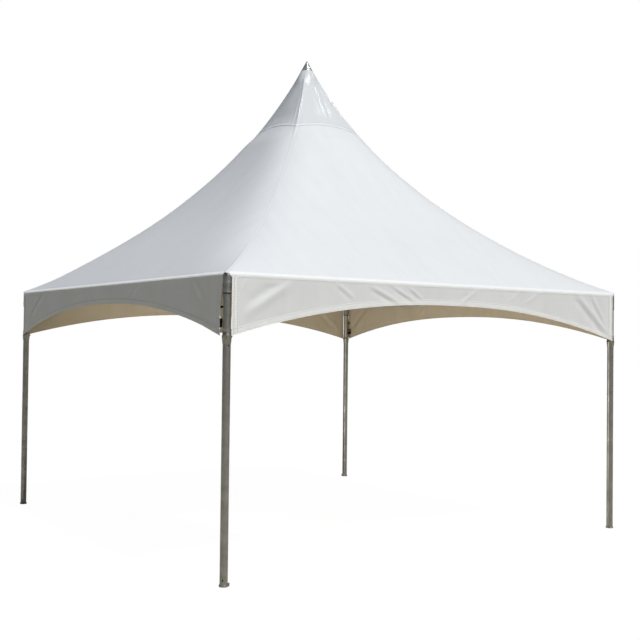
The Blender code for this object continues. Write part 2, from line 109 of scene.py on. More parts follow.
def linear(code, alpha=1.0):
    """An sRGB hex colour as linear values."""
    channels = [int(code[place:place + 2], 16) / 255 for place in (1, 3, 5)]
    return (*[c / 12.92 if c <= 0.04045 else ((c + 0.055) / 1.055) ** 2.4 for c in channels], alpha)


def start_material(name, values):
    """A new material and its shader, with the shader's own sockets set."""
    material = bpy.data.materials.new(name)
    material.use_nodes = True
    shader = material.node_tree.nodes["Principled BSDF"]
    for socket, value in values.items():
        shader.inputs[socket].default_value = value
    return material, shader


def add_node(owner, kind, inputs=None, **settings):
    """A node with its settings, and each input set to a value or linked to an output."""
    node = owner.node_tree.nodes.new(kind)
    for name, value in settings.items():
        setattr(node, name, value)
    for name, value in (inputs or {}).items():
        if isinstance(value, bpy.types.NodeSocket):
            owner.node_tree.links.new(value, node.inputs[name])
        else:
            node.inputs[name].default_value = value
    return node


def connect(owner, output, node, socket):
    owner.node_tree.links.new(output, node.inputs[socket])


def object_place(owner):
    return add_node(owner, "ShaderNodeTexCoord").outputs["Object"]


def cloth_map(owner):
    """The piece's own map, in metres along the cloth."""
    return add_node(owner, "ShaderNodeUVMap", uv_map="cloth").outputs["UV"]


def split(owner, vector):
    return add_node(owner, "ShaderNodeSeparateXYZ", {"Vector": vector}).outputs


def stretched(owner, place, scale):
    return add_node(owner, "ShaderNodeMapping", {"Vector": place, "Scale": scale}).outputs["Vector"]


def maths(owner, operation, *values):
    return add_node(owner, "ShaderNodeMath", dict(enumerate(values)), operation=operation).outputs[0]


def ramp(owner, value, start, end, low=0.0, high=1.0):
    """Low up to the start, high from the end on, and even between them."""
    inputs = {"Value": value, "From Min": start, "From Max": end, "To Min": low, "To Max": high}
    return add_node(owner, "ShaderNodeMapRange", inputs).outputs["Result"]


def mixed(owner, share, first, second):
    """The first colour, giving way to the second as the share goes from 0 to 1."""
    return add_node(owner, "ShaderNodeMix", {0: share, 6: first, 7: second}, data_type="RGBA").outputs[2]


def speckle(owner, place, scale, detail, roughness=0.5):
    inputs = {"Vector": place, "Scale": scale, "Detail": detail, "Roughness": roughness}
    return add_node(owner, "ShaderNodeTexNoise", inputs).outputs["Fac"]


def bands(owner, place, direction, scale, distortion, detail=2.0):
    inputs = {"Vector": place, "Scale": scale, "Distortion": distortion, "Detail": detail}
    return add_node(owner, "ShaderNodeTexWave", inputs, bands_direction=direction).outputs["Fac"]


def bump(owner, height, strength, distance, invert=False, over=None):
    """A bumped normal, laid over another one where that is given."""
    inputs = {"Height": height, "Strength": strength, "Distance": distance}
    if over:
        inputs["Normal"] = over
    return add_node(owner, "ShaderNodeBump", inputs, invert=invert).outputs["Normal"]


def finished(material, shader, colour, normal, roughness=None):
    connect(material, colour, shader, "Base Color")
    connect(material, normal, shader, "Normal")
    if roughness:
        connect(material, roughness, shader, "Roughness")
    return material


def hemmed(material, cloth, colour, hem_colour):
    """A valance's doubled hems, lighter than the cloth, and the stitching that holds them."""
    parts = split(material, cloth)
    above = parts["Y"]
    from_end = maths(material, "SUBTRACT", VALANCE_HALF_WIDTH, maths(material, "ABSOLUTE", parts["X"]))
    low = ramp(material, above, HEM_HEIGHT - 0.001, HEM_HEIGHT + 0.002, 1.0, 0.0)
    end = ramp(material, from_end, END_HEM_WIDTH - 0.001, END_HEM_WIDTH + 0.002, 1.0, 0.0)
    doubled = mixed(material, maths(material, "MAXIMUM", low, end), colour, linear(hem_colour))
    thread = maths(material, "COMPARE", above, HEM_STITCHES[0], STITCH_REACH)
    for line in END_STITCHES:
        row = maths(material, "COMPARE", from_end, line, STITCH_REACH)
        thread = maths(material, "MAXIMUM", thread, row)
    # Stitches are 4 mm long, drawn at 12 mm so that they show.
    beat = maths(material, "PINGPONG", maths(material, "ADD", parts["X"], parts["Y"]), 0.012)
    dash = ramp(material, beat, 0.002, 0.005, 0.25)
    dark = maths(material, "MULTIPLY", maths(material, "MULTIPLY", thread, dash), 0.55)
    return mixed(material, dark, doubled, linear("#9c9d99"))


def coated_polyester(name, face, worn, roughness, hem_colour=None, glow=0.0):
    """PVC-coated polyester: a smooth, slightly glossy skin with the scrim showing faintly through.

    Yarns are about 1 mm apart, too fine to show, so the scrim is drawn at 9 mm. A glow is painted
    light that brightens an edge lying in shade.
    """
    material, shader = start_material(name, {"Specular IOR Level": 0.42, "IOR": 1.5, "Emission Color": WHITE,
                                             "Emission Strength": glow})
    place, cloth = object_place(material), cloth_map(material)
    broad = speckle(material, place, 1.7, 4.0, 0.6)
    streaks = speckle(material, stretched(material, cloth, (9.0, 0.9, 1.0)), 1.0, 5.0, 0.65)
    wear = ramp(material, maths(material, "MULTIPLY", broad, streaks), 0.16, 0.42)
    colour = mixed(material, wear, linear(face), linear(worn))
    warp, weft = (bands(material, cloth, direction, 35.0, 0.3) for direction in ("X", "Y"))
    scrim = bump(material, maths(material, "ADD", warp, weft), 0.05, 0.0004)
    ripple = bump(material, speckle(material, place, 26.0, 3.0), 0.12, 0.004, over=scrim)
    if hem_colour:
        colour = hemmed(material, cloth, colour, hem_colour)
    gloss = ramp(material, broad, 0.3, 0.7, roughness - 0.05, roughness + 0.06)
    return finished(material, shader, colour, ripple, gloss)


def stitched_tape(name, face, thread, lines):
    """A strip of the same cloth, sewn down with two rows of stitching: faint grey lines along its length.

    Its own map runs across the strip in X and along it in Y. Stitches are 4 mm, drawn at 14 mm.
    """
    material, shader = start_material(name, {"Roughness": 0.45, "Specular IOR Level": 0.4})
    parts = split(material, cloth_map(material))
    dash = ramp(material, maths(material, "PINGPONG", parts["Y"], 0.014), 0.003, 0.006, 0.3)
    rows = [maths(material, "COMPARE", parts["X"], line, STITCH_REACH) for line in lines]
    dark = maths(material, "MULTIPLY", maths(material, "MAXIMUM", *rows), dash)
    colour = mixed(material, dark, linear(face), linear(thread))
    return finished(material, shader, colour, bump(material, dark, 0.5, 0.0008, invert=True))


def extruded_aluminium(name, stretch):
    """Mill-finish extruded tube: fine die lines along its length, dulled by weather and handling."""
    material, shader = start_material(name, {"Metallic": 1.0})
    place = object_place(material)
    lines = speckle(material, stretched(material, place, stretch), 1.0, 3.0, 0.6)
    stain = speckle(material, place, 7.0, 6.0, 0.7)
    clean = mixed(material, lines, linear("#c9c8c3"), linear("#b8b7b1"))
    colour = mixed(material, ramp(material, stain, 0.35, 0.7), clean, linear("#a3a098"))
    dull = ramp(material, stain, 0.3, 0.7, 0.34, 0.52)
    return finished(material, shader, colour, bump(material, lines, 0.25, 0.0004), dull)


def rough_metal(name, bright, dull, roughness, grain, depth):
    """Metal with a broken surface: cast skin, zinc spangle or paint, by its colours and grain size."""
    material, shader = start_material(name, {"Metallic": 1.0})
    place = object_place(material)
    spots = speckle(material, place, grain, 5.0, 0.6)
    wash = speckle(material, place, 18.0, 3.0)
    amount = ramp(material, maths(material, "MULTIPLY", spots, wash), 0.14, 0.4)
    colour = mixed(material, amount, linear(bright), linear(dull))
    gloss = ramp(material, spots, 0.3, 0.7, roughness - 0.07, roughness + 0.08)
    return finished(material, shader, colour, bump(material, spots, 0.35, depth), gloss)


def spun_metal(name):
    """Spun cone: fine rings round its axis from the turning tool, under a semi-polished face."""
    material, shader = start_material(name, {"Metallic": 1.0, "Roughness": 0.3})
    rings = bands(material, object_place(material), "Z", 60.0, 0.4)
    colour = mixed(material, rings, linear("#c9cac6"), linear("#a9aba6"))
    return finished(material, shader, colour, bump(material, rings, 0.2, 0.0003))


def laid_wire(name):
    """Galvanised wire: dull zinc grey, with painted shade between the strands."""
    material, shader = start_material(name, {"Metallic": 1.0, "Roughness": 0.42})
    strands_and_painted_shade = bands(material, cloth_map(material), "DIAGONAL", 160.0, 0.2)
    colour = mixed(material, strands_and_painted_shade, linear("#7d7e7c"), linear("#b4b5b2"))
    return finished(material, shader, colour, bump(material, strands_and_painted_shade, 0.5, 0.0004))


def woven_webbing(name, face, shadow):
    """Polyester webbing: a matt herringbone with a raised selvedge. The 3 mm ribs are its real size."""
    material, shader = start_material(name, {"Roughness": 0.85, "Sheen Weight": 0.25, "Sheen Roughness": 0.5})
    cloth = cloth_map(material)
    ribs = bands(material, cloth, "DIAGONAL", 105.0, 0.6, 1.0)
    picks = bands(material, cloth, "Y", 105.0, 0.4)
    weave = maths(material, "MULTIPLY", ribs, picks)
    colour = mixed(material, weave, linear(shadow), linear(face))
    return finished(material, shader, colour, bump(material, weave, 0.6, 0.0005))


ROOF_CLOTH = coated_polyester("coated_polyester_roof", "#f0f2f3", "#ebedee", 0.40)
# Painted highlight: whiter cloth along the top of the eave's bend.
EDGE_PAINTED_HIGHLIGHT = coated_polyester("coated_polyester_eave_edge", "#fdfefe", "#f9fafb", 0.34)
# Painted glow: on the left and back the eave edge emits a little light, brightening it in shade.
EDGE_PAINTED_GLOW = coated_polyester("coated_polyester_eave_edge_glow_painted", "#ffffff", "#fbfcfd", 0.34, glow=0.10)
VALANCE_CLOTH = coated_polyester("coated_polyester_valance", "#f2f3f4", "#ecedee", 0.44, "#fdfdfc")
# Painted shade: a greyer copy of the valance cloth for the sides in shade, with hems no lighter than the
# cloth.
VALANCE_PAINTED_SHADE = coated_polyester("coated_polyester_valance_shade_painted", "#e6e5e3", "#e0deda", 0.44, "#e5e3df")
# Painted shade: the undersides are tan-grey for the shade and the warm ground bounce under the roof.
UNDERSIDE_PAINTED_SHADE = coated_polyester("coated_polyester_underside_shade_painted", "#aea488", "#a69c7f", 0.55)
UNDERSIDE_VALANCE_PAINTED_SHADE = coated_polyester("coated_polyester_valance_underside_shade_painted", "#e4d8c4", "#dbceb8", 0.55)
SEAM_TAPE = stitched_tape("hip_seam_tape", "#eff1f2", "#dcdfe1", (-0.015, 0.015))
PATCH_CLOTH = coated_polyester("coated_polyester_peak", "#e6e9eb", "#e1e4e6", 0.23)
PATCH_HEM = stitched_tape("peak_patch_hem", "#eef0f2", "#a7abb0", (0.004, 0.046))
UPRIGHT_TUBE = extruded_aluminium("extruded_aluminium_upright", (260.0, 260.0, 1.5))
LEVEL_TUBE = extruded_aluminium("extruded_aluminium_level", (30.0, 30.0, 260.0))
CAST_ALUMINIUM = rough_metal("sand_cast_aluminium", "#bcbcb8", "#8c8c88", 0.52, 380.0, 0.0006)
ZINC_PLATE = rough_metal("zinc_plated_steel", "#c4c2b8", "#8e8b7d", 0.40, 120.0, 0.0002)
BLACK_STEEL = rough_metal("black_coated_steel", "#2a2a29", "#151514", 0.50, 240.0, 0.0002)
FINIAL_METAL = spun_metal("spun_steel_finial")
WIRE = laid_wire("galvanised_wire_rope")
WEBBING = woven_webbing("polyester_webbing", "#f6ead0", "#cdbf9f")


# Shapes
def turned(profile, steps=48, closed=False, place=Matrix()):
    """A profile of (radius, height) points spun about +Z, then put in its place."""
    bm = bmesh.new()
    points = [bm.verts.new((radius, 0.0, height)) for radius, height in profile]
    edges = [bm.edges.new(pair) for pair in zip(points, points[1:])]
    if closed:
        edges.append(bm.edges.new((points[-1], points[0])))
    bmesh.ops.spin(bm, geom=points + edges, cent=(0, 0, 0), axis=(0, 0, 1), angle=2 * math.pi, steps=steps,
                   use_merge=True)
    bmesh.ops.remove_doubles(bm, verts=bm.verts, dist=MERGE_DISTANCE)
    bmesh.ops.recalc_face_normals(bm, faces=bm.faces)
    bmesh.ops.transform(bm, matrix=place, verts=bm.verts)
    return bm


def rounded_box(low, high, radius, segments=2, place=Matrix()):
    low, high = Vector(low), Vector(high)
    bm = bmesh.new()
    fit = Matrix.Translation((low + high) / 2) @ Matrix.Diagonal((*(high - low), 1.0))
    bmesh.ops.create_cube(bm, size=1.0, matrix=fit)
    bmesh.ops.bevel(bm, geom=bm.edges[:], offset=radius, segments=segments, profile=0.5, affect="EDGES",
                    material=-1)
    bmesh.ops.transform(bm, matrix=place, verts=bm.verts)
    return bm


def pointing(start, direction):
    """A place whose +Z runs from start along a direction."""
    return Matrix.Translation(start) @ Vector(direction).to_track_quat("Z", "Y").to_matrix().to_4x4()


def rod(start, end, radius, chamfer=0.001, steps=20):
    start, end = Vector(start), Vector(end)
    length = (end - start).length
    profile = [(0.0, 0.0), (radius - chamfer, 0.0), (radius, chamfer), (radius, length - chamfer),
               (radius - chamfer, length), (0.0, length)]
    return turned(profile, steps, place=pointing(start, end - start))


def hex_head(start, direction, width, height):
    """A six-sided bolt head or nut with its turned chamfer, standing on start."""
    radius = width / math.sqrt(3)
    profile = [(0.0, 0.0), (radius, 0.0), (radius, height * 0.8), (radius * 0.86, height), (0.0, height)]
    return turned(profile, 6, place=pointing(start, direction))


def joined(parts):
    """One mesh from several, each with the number of its material."""
    whole = bmesh.new()
    for part, number in parts:
        for face in part.faces:
            face.material_index = number
        mesh = bpy.data.meshes.new("joined_part")
        part.to_mesh(mesh)
        part.free()
        whole.from_mesh(mesh)
        bpy.data.meshes.remove(mesh)
    return whole


def sheet_grid(columns, rows, place, measure, closed=False):
    """A grid laid by place(column, row), with measure(column, row) as its map in metres."""
    bm = bmesh.new()
    across, up = len(columns) - 1, len(rows) - 1
    bmesh.ops.create_grid(bm, x_segments=across, y_segments=up, size=0.5)
    cloth = bm.loops.layers.uv.new("cloth")
    spot = {}
    for vert in bm.verts:
        column = columns[round((vert.co.x + 0.5) * across)]
        row = rows[round((vert.co.y + 0.5) * up)]
        spot[vert] = (column, row)
    for face in bm.faces:
        for loop in face.loops:
            loop[cloth].uv = measure(*spot[loop.vert])
    for vert, (column, row) in spot.items():
        vert.co = place(column, row)
    if closed:
        bmesh.ops.remove_doubles(bm, verts=bm.verts, dist=MERGE_DISTANCE)
    return bm


def thicken(bm, thickness, inner_number):
    """Give a sheet its thickness on the inner side, with its own material there. Returns the flat area."""
    outside = set(bm.faces)
    area = sum(face.calc_area() for face in outside)
    upper = set(bm.verts)
    bm.normal_update()
    bmesh.ops.solidify(bm, geom=bm.faces[:], thickness=thickness)
    for face in bm.faces:
        if face not in outside and not any(vert in upper for vert in face.verts):
            face.material_index = inner_number
    return area


def at_corner(bm, corner):
    """A copy for one corner of a shape whose inboard directions are +X and +Y."""
    side_x, side_y = CORNERS[corner]
    copy = bm.copy()
    bmesh.ops.scale(copy, vec=(-side_x, -side_y, 1.0), verts=copy.verts)
    bmesh.ops.translate(copy, vec=(side_x * HALF_SPAN, side_y * HALF_SPAN, 0.0), verts=copy.verts)
    if side_x * side_y < 0:
        bmesh.ops.reverse_faces(copy, faces=copy.faces)
    return copy


def add_object(name, data):
    thing = bpy.data.objects.new(name, data)
    bpy.context.scene.collection.objects.link(thing)
    return thing


def publish(name, bm, materials, replaces=()):
    """Make the finished piece, ready to ride on the tent."""
    bm.normal_update()
    mesh = bpy.data.meshes.new(name)
    bm.to_mesh(mesh)
    bm.free()
    for material in materials:
        mesh.materials.append(material)
    mesh.shade_smooth()
    mesh.set_sharp_from_angle(angle=math.radians(35.0))
    piece = add_object(name, mesh)
    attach(piece, "root")
    if replaces:
        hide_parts(*replaces)
    return piece


def publish_corners(name, parts, materials, node=None):
    """One piece for each corner. A node is the stem of the solids' names that it takes the place of."""
    shape = joined(parts)
    for corner in CORNERS:
        publish(f"{name}_{corner}", at_corner(shape, corner), materials,
                [f"{node}_{corner}"] if node else ())
    shape.free()


def smooth(value):
    value = max(0.0, min(1.0, value))
    return value * value * (3 - 2 * value)


# Folds, as lines in a side's own upright plane: start, end, half width and height
FOLDS = {
    "front": [((-1.77, 2.33), (-2.09, 2.13), 0.040, 0.0110), ((-1.24, 2.36), (-1.11, 2.27), 0.018, 0.0050),
              ((-0.87, 2.35), (-0.63, 2.25), 0.022, 0.0065), ((-0.66, 2.37), (-0.43, 2.26), 0.016, 0.0050),
              ((-0.48, 2.37), (-0.34, 2.28), 0.014, 0.0040), ((0.33, 2.38), (0.16, 2.26), 0.018, 0.0050),
              ((1.72, 2.38), (2.16, 2.03), 0.032, 0.0090), ((1.94, 2.38), (2.13, 2.13), 0.022, 0.0060),
              ((1.20, 2.40), (1.02, 2.30), 0.020, 0.0035), ((-2.10, 2.43), (-2.17, 2.30), 0.014, 0.0050),
              ((0.92, 2.40), (0.80, 2.31), 0.016, 0.0035)],
    "left": [((-0.43, 2.40), (-0.33, 2.26), 0.022, 0.0060), ((0.76, 2.38), (0.60, 2.27), 0.020, 0.0055),
             ((1.81, 2.39), (1.98, 2.21), 0.030, 0.0090), ((2.11, 2.43), (2.13, 2.33), 0.012, 0.0060),
             ((2.01, 2.44), (1.91, 2.40), 0.012, 0.0060), ((-1.62, 2.39), (-1.98, 2.16), 0.034, 0.0090),
             ((1.28, 2.44), (1.22, 2.39), 0.012, 0.0050), ((0.95, 2.44), (0.90, 2.40), 0.010, 0.0040),
             ((-1.05, 2.41), (-1.00, 2.33), 0.014, 0.0040)],
}


def scattered_folds(chance, count, reach, head, lean, foot, width, height):
    """Short folds at random places, each from its head down to its foot."""
    folds = []
    for _ in range(count):
        x = chance.uniform(-reach, reach)
        start = (x, chance.uniform(*head))
        end = (x + chance.uniform(-lean, lean), chance.uniform(*foot))
        folds.append((start, end, chance.uniform(*width), chance.uniform(*height)))
    return folds


def seeded_folds(seed):
    """Folds for a side that the view doesn't show: long ones at the corners, short ones between."""
    chance = random.Random(seed)
    folds = []
    for end in (-1, 1):
        top = end * chance.uniform(1.65, 1.85)
        folds.append(((top, 2.38), (top + end * 0.36, chance.uniform(2.06, 2.14)), 0.034, 0.0095))
    return folds + scattered_folds(chance, 7, 1.5, (2.37, 2.43), 0.2, (2.25, 2.31), (0.012, 0.022),
                                   (0.003, 0.006))


def eave_puckers(seed):
    """Short gathers where the cloth bends over the eave tube."""
    return scattered_folds(random.Random(seed), 16, 2.1, (2.44, 2.50), 0.05, (2.37, 2.41), (0.009, 0.015),
                           (0.0012, 0.0028))


# Folds of the peak: turn in degrees from the front, low and high way, half width and height
PEAK_FOLDS = [(-50.5, 0.820, 0.945, 0.010, 0.0028), (-38.0, 0.820, 0.880, 0.009, 0.0014),
              (-57.0, 0.820, 0.880, 0.010, 0.0014), (-32.0, 0.820, 0.865, 0.008, 0.0012),
              (50.0, 0.820, 0.920, 0.010, 0.0024), (138.0, 0.820, 0.915, 0.011, 0.0026),
              (221.0, 0.820, 0.925, 0.010, 0.0024), (128.0, 0.820, 0.870, 0.009, 0.0014),
              (233.0, 0.820, 0.870, 0.009, 0.0014), (-85.0, 0.820, 0.865, 0.010, 0.0010),
              (3.0, 0.830, 0.975, 0.036, 0.0030), (95.0, 0.820, 0.865, 0.010, 0.0012)]
FOLDS["back"] = seeded_folds(41)
FOLDS["right"] = seeded_folds(17)
for number, side in enumerate(SIDES):
    FOLDS[side] = FOLDS[side] + eave_puckers(100 + number)


def relief(side, x, z):
    """How far the cloth stands proud of its taut face at a point of one side's upright plane.

    A fold is a ridge with a shallower trough beside it, and fades towards both its ends. Where the
    cloth lies on the tube it can only stand out.
    """
    total = 0.0
    for start, end, width, height in FOLDS[side]:
        run_x, run_z = end[0] - start[0], end[1] - start[1]
        length = math.hypot(run_x, run_z)
        off_x, off_z = x - start[0], z - start[1]
        across = (off_x * run_z - off_z * run_x) / (length * width)
        if abs(across) > 4.5:
            continue
        along = (off_x * run_x + off_z * run_z) / length ** 2
        fade = math.exp(-(abs(along - 0.5) / 0.6) ** 4)
        total += height * fade * (math.exp(-across ** 2) - 0.65 * math.exp(-(across - 1.5) ** 2))
    below = smooth((2.345 - z) / 0.03) * smooth((2.19 - abs(x)) / 0.1)
    above = smooth((z - 2.45) / 0.04)
    free = max(below, above)
    proud = (total + math.sqrt(total ** 2 + 0.0006 ** 2)) / 2
    return total * free + proud * (1 - free)


# The roof's form
def roof_height(way):
    rise = RISE_LINEAR * way + RISE_SQUARE * way ** 2 + RISE_PEAK * way ** PEAK_POWER
    return BEND_HEIGHT + rise


def roof_radius(way, azimuth):
    """Plan distance of the contour at an azimuth from the middle of its side.

    Square at the eave and a rounded square above it, all through the hips. The hips are creased again
    just under the peak, and the ring on top is a circle.
    """
    hip = BEND_DISTANCE * math.sqrt(2) * (1.0 - way)
    square = hip / (math.sqrt(2) * math.cos(azimuth))
    power = 2 + 9.5 * max(0.0, ROUND_FROM - way)
    spread = math.cos(azimuth) ** power + abs(math.sin(azimuth)) ** power
    rounded = hip * 2 ** (1 / power - 0.5) / spread ** (1 / power)
    softness = math.sin(math.pi / 2 * min(1.0, max(way, 0.0) / SOFT_BY)) ** SOFT_POWER
    softness -= HIP_CREASE * smooth((way - 0.78) / 0.09) * smooth((PATCH_END - way) / 0.043)
    return (1 - softness) * square + softness * rounded


def patch_way(azimuth):
    """The lower edge of the peak's reinforcement: cut straight on each side, so it dips at the hips."""
    return 1.0 - (1.0 - PATCH_START) / math.cos(PATCH_DIP * azimuth)


def roof_face(azimuth, way):
    """A point of the taut roof, seen from the front. Below zero, way runs round the eave tube."""
    if way >= 0.0:
        radius, height = roof_radius(way, azimuth), roof_height(way)
    else:
        bend = (math.pi / 2 - EAVE_SLOPE) * (1.0 - min(1.0, way / LAP_WAY))
        radius = (HALF_SPAN + ROLL_OUTER * math.cos(bend)) / math.cos(azimuth)
        hanging = max(0.0, (LAP_WAY - way) / (1.0 + LAP_WAY))
        height = EAVE_HEIGHT + ROLL_OUTER * math.sin(bend) - SKIRT * hanging
    return Vector((radius * math.sin(azimuth), -radius * math.cos(azimuth), height))


def peak_gather(side, azimuth, way):
    """Ridges that run up the hips into the peak, and fine gathers beside them."""
    if way < 0.70:
        return 0.0
    radius = roof_radius(way, azimuth)
    from_hip = (math.pi / 4 - abs(azimuth)) * radius
    window = smooth((way - 0.74) / 0.08) * smooth((0.965 - way) / 0.05)
    ridge = 0.0020 * math.exp(-(from_hip / 0.010) ** 2)
    trough = 0.0014 * math.exp(-((from_hip - 0.022) / 0.012) ** 2)
    total = (ridge - trough) * window
    for turn, low, high, width, height in PEAK_FOLDS:
        gap = (SIDES[side] + math.degrees(azimuth) - turn + 180) % 360 - 180
        across = math.radians(gap) * radius / width
        if abs(across) < 3.5:
            fade = smooth((way - low) / 0.025) * smooth((high - way) / 0.035)
            total += height * fade * (math.exp(-across ** 2) - 0.6 * math.exp(-(across - 1.5) ** 2))
    return total


def roof_point(side, u, way, lift=0.0):
    """A point of the finished roof cloth on one side. u is -1 and 1 at the hips."""
    azimuth = math.atan(u)
    base = roof_face(azimuth, way)
    turn_step = -0.0008 if u > 0 else 0.0008
    way_step = -0.0015 if way > 0.002 else 0.0015
    if way < LAP_WAY:
        way_step = 0.01
    along = (roof_face(azimuth + turn_step, way) - base) * math.copysign(1, turn_step)
    upward = (roof_face(azimuth, way + way_step) - base) * math.copysign(1, way_step)
    normal = along.cross(upward).normalized()
    hip_distance = (1.0 - abs(u)) * abs(base.y)
    held = smooth(hip_distance / 0.07) * smooth((0.88 - way) / 0.12)
    slack = 0.0030 * noise.noise(Vector((base.x * 1.6, base.y * 1.6, SIDES[side]))) * smooth(way / 0.08)
    bead = EAVE_BEADS[side] * math.exp(-((way - BEAD_WAY) / BEAD_HALF_WIDTH) ** 2)
    bead *= 1.0 + 0.7 * noise.noise(Vector((base.x * 5.0, SIDES[side], 7.0)))
    stand = lift + held * (slack + bead + relief(side, base.x, base.z)) + peak_gather(side, azimuth, way)
    return Matrix.Rotation(math.radians(SIDES[side]), 3, "Z") @ (base + normal * stand)


def slope_length(way):
    """Cloth length up the middle of a side, from the bend."""
    steps = 24
    points = [roof_face(0.0, way * step / steps) for step in range(steps + 1)]
    return sum((b - a).length for a, b in zip(points, points[1:]))


def make_roof_panels(tapes):
    """Four panels. Each laps over the valance's top and is cut back at its corners, clear of the fitting.

    The columns crowd a little towards the hips, and the rows where the cloth bends over the tube.
    """
    count = 200
    even = [2 * n / count - 1 for n in range(count + 1)]
    columns = [math.sin(math.pi / 2 * u) * 0.35 + u * 0.6495 for u in even]
    rows = [-1.0, -0.9, -0.8, -0.68, -0.56, -0.44, -0.32, -0.2, -0.1, 0.0, 0.004, 0.008, 0.013, 0.018, 0.024]
    rows += [0.03 + 0.970 * n / 80 for n in range(81)]
    top = PATCH_START + UNDER_PATCH
    lengths = {way: slope_length(way * top) if way > 0 else way * WRAP_LENGTH for way in rows}

    def measure(u, way):
        return (u * BEND_DISTANCE * (1 - max(way * PATCH_START, 0.0)), lengths[way])

    for side in SIDES:
        def place(u, way):
            corner = 1.0 - smooth(((1.0 - abs(u)) * BEND_DISTANCE - 0.028) / 0.024)
            if way < 0:
                return roof_point(side, u, way * (1.0 - 0.60 * corner))
            return roof_point(side, u, way * (patch_way(math.atan(u)) + UNDER_PATCH))

        bm = sheet_grid(columns, rows, place, measure)
        cloth = bm.loops.layers.uv.active
        for face in bm.faces:
            height = sum(loop[cloth].uv.y for loop in face.loops) / len(face.loops)
            # The top of the bend takes the painted highlight, and the lap below it takes the valance cloth.
            if height < 0:
                face.material_index = 1 if height > -PAINTED_HIGHLIGHT_REACH else 2
        area = thicken(bm, CLOTH, 3)
        # The left and back take the eave edge with a painted glow and the painted-shade copy of the valance
        # cloth.
        edge, lap_face = EDGE_PAINTED_HIGHLIGHT, VALANCE_CLOTH
        if side in SIDES_WITH_PAINTED_SHADE:
            edge, lap_face = EDGE_PAINTED_GLOW, VALANCE_PAINTED_SHADE
        piece = publish(f"roof_cloth_{side}", bm, [ROOF_CLOTH, edge, lap_face, UNDERSIDE_PAINTED_SHADE],
                        [f"roof_panel_{side}"])
        slope_length(top) + WRAP_LENGTH


def make_hip_tapes():
    """A sewn strip over each hip seam, from the corner up to the peak's patch."""
    offsets = [-TAPE_HALF_WIDTH, -0.0165, -0.0135, -0.007, 0.0, 0.007, 0.0135, 0.0165, TAPE_HALF_WIDTH]
    rows = [-0.38, -0.25, -0.12, 0.0, 0.006, 0.012] + [0.02 + 0.822 * n / 110 for n in range(111)]
    tapes = {}
    for number, side in enumerate(ORDER):
        after = ORDER[(number + 1) % 4]

        def place(offset, way):
            lift = CLOTH * 0.5
            if offset == 0.0:
                return (roof_point(side, 1.0, way, lift) + roof_point(after, -1.0, way, lift)) / 2
            away = math.pi / 4 - abs(offset) / roof_radius(max(way, 0.0), math.pi / 4)
            if offset < 0:
                return roof_point(side, math.tan(away), way, lift)
            return roof_point(after, -math.tan(away), way, lift)

        bm = sheet_grid(offsets, rows, place, lambda offset, way: (offset, way * HIP_LENGTH))
        thicken(bm, CLOTH * 0.6, 0)
        tapes[side] = publish(f"hip_tape_{side}_{after}", bm, [SEAM_TAPE])
    return tapes


def make_peak_patch():
    """The doubled cloth round the peak, with its sewn lower edge, closed in a ring."""
    count = 240
    turns = [2 * math.pi * n / count for n in range(count + 1)]
    hem = [0.0, 0.002, 0.005, 0.008, 0.020, 0.035, 0.050, 0.054, 0.058, 0.062, PATCH_HEM_TOP, 0.074, 0.100]
    rows = hem + [0.100 + 0.900 * (n + 1) / 46 for n in range(46)]
    lengths = {row: slope_length(PATCH_START + row * (PATCH_END - PATCH_START)) for row in rows}

    def place(turn, row):
        quarter = round(turn / (math.pi / 2))
        local = max(-math.pi / 4, min(math.pi / 4, turn - quarter * math.pi / 2))
        start = patch_way(local)
        lift = CLOTH * 1.3
        if 0.001 < row < 0.064:
            lift += 0.0010
        for line in PATCH_STITCHES:
            lift -= 0.0009 * max(0.0, 1.0 - abs(row - line) / 0.0035)
        slack = Vector((math.cos(turn) * 2.2, math.sin(turn) * 2.2, row * 2.5))
        lift = max(lift + 0.0014 * noise.noise(slack) * smooth(row / 0.2), CLOTH)
        return roof_point(ORDER[quarter % 4], math.tan(local), start + row * (PATCH_END - start), lift)

    def measure(turn, row):
        return (lengths[row] - lengths[0.0], turn * PATCH_LOW_RADIUS)

    bm = sheet_grid(turns, rows, place, measure, closed=True)
    hem_top = lengths[PATCH_HEM_TOP] - lengths[0.0]
    cloth = bm.loops.layers.uv.active
    for face in bm.faces:
        if sum(loop[cloth].uv.x for loop in face.loops) / len(face.loops) < hem_top:
            face.material_index = 1
    area = thicken(bm, CLOTH, 2)
    piece = publish("peak_cloth", bm, [PATCH_CLOTH, PATCH_HEM, UNDERSIDE_PAINTED_SHADE], ["peak_patch"])
    2 * math.pi * roof_radius(PATCH_START, 0.35)


# Valances
def arch(side, x):
    """Height of the hem. The two far sides hang a little lower in the middle."""
    sag = ARCH_SAG[side]
    return ARCH_HEIGHT - sag - (HEM_DROP - sag) * abs(x / VALANCE_HALF_WIDTH) ** ARCH_POWER


def hem_rise(above, from_end):
    """Extra thickness of the folded hems, with a groove pulled in by each row of stitching."""
    low = smooth((HEM_HEIGHT + 0.001 - above) / 0.002)
    end = smooth((END_HEM_WIDTH + 0.001 - from_end) / 0.002)
    rise = HEM_RISE * max(low, end)
    for distance, lines in ((above, HEM_STITCHES), (from_end, END_STITCHES)):
        for line in lines:
            rise -= 0.0008 * max(0.0, 1.0 - abs(distance - line) / GROOVE)
    return rise


def grooves(lines):
    """Rows in each dip of the stitching, one list for each line, from the outermost line."""
    return [[line - GROOVE, line, line + GROOVE] for line in sorted(lines)]


